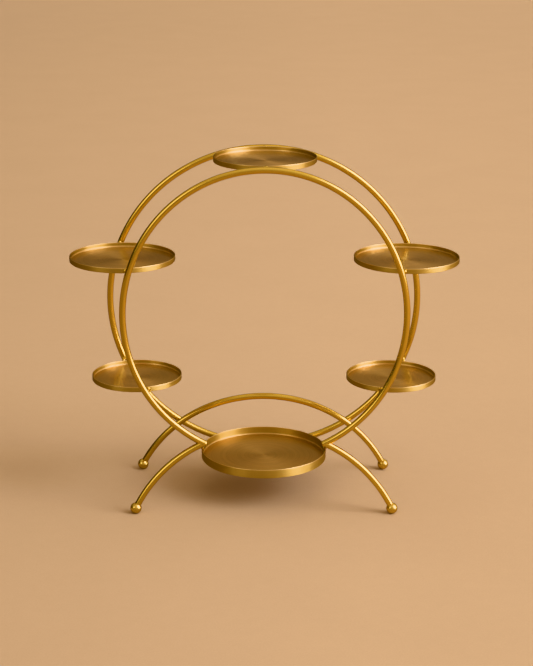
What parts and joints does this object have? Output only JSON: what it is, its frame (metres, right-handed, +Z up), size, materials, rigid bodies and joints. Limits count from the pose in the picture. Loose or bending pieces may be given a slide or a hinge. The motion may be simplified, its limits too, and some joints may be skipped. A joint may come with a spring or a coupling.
{
  "type": "tiered cake stand",
  "caption": "Tiered cake stand: shallow round brushed-brass trays held between two upright rod rings, on splayed arched legs with ball feet.",
  "frame": {"origin": "on the surface the stand stands on, in the middle of its outline", "axes": "+Z up, -Y the open front, +X the stand's right side seen from the front"},
  "size_m": [0.48, 0.1666, 0.4333],
  "materials": {
    "rod_brass": "satin, lightly polished round rod",
    "foot_brass": "satin turned ball",
    "tray_rim_brass": "brushed along the rim, bright top edge",
    "tray_plate_brass": "fine concentric turning marks"
  },
  "bodies": {
    "root": {"front_ring": "rod_brass", "rear_ring": "rod_brass", "rear_leg_arch": "rod_brass", "front_left_leg": "rod_brass", "front_right_leg": "rod_brass", "front_left_foot": "foot_brass", "front_right_foot": "foot_brass", "rear_left_foot": "foot_brass", "rear_right_foot": "foot_brass", "bottom_tray_left_arm": "rod_brass", "bottom_tray_right_arm": "rod_brass", "bottom_tray_left_stud": "rod_brass", "bottom_tray_right_stud": "rod_brass", "top_tray_rim": "tray_rim_brass", "top_tray_plate": "tray_plate_brass", "top_tray_front_peg": "rod_brass", "top_tray_rear_peg": "rod_brass", "upper_left_tray_rim": "tray_rim_brass", "upper_left_tray_plate": "tray_plate_brass", "upper_left_tray_front_peg": "rod_brass", "upper_left_tray_rear_peg": "rod_brass", "upper_right_tray_rim": "tray_rim_brass", "upper_right_tray_plate": "tray_plate_brass", "upper_right_tray_front_peg": "rod_brass", "upper_right_tray_rear_peg": "rod_brass", "lower_left_tray_rim": "tray_rim_brass", "lower_left_tray_plate": "tray_plate_brass", "lower_left_tray_front_peg": "rod_brass", "lower_left_tray_rear_peg": "rod_brass", "lower_right_tray_rim": "tray_rim_brass", "lower_right_tray_plate": "tray_plate_brass", "lower_right_tray_front_peg": "rod_brass", "lower_right_tray_rear_peg": "rod_brass", "bottom_tray_rim": "tray_rim_brass", "bottom_tray_plate": "tray_plate_brass"}
  },
  "joints": []
}
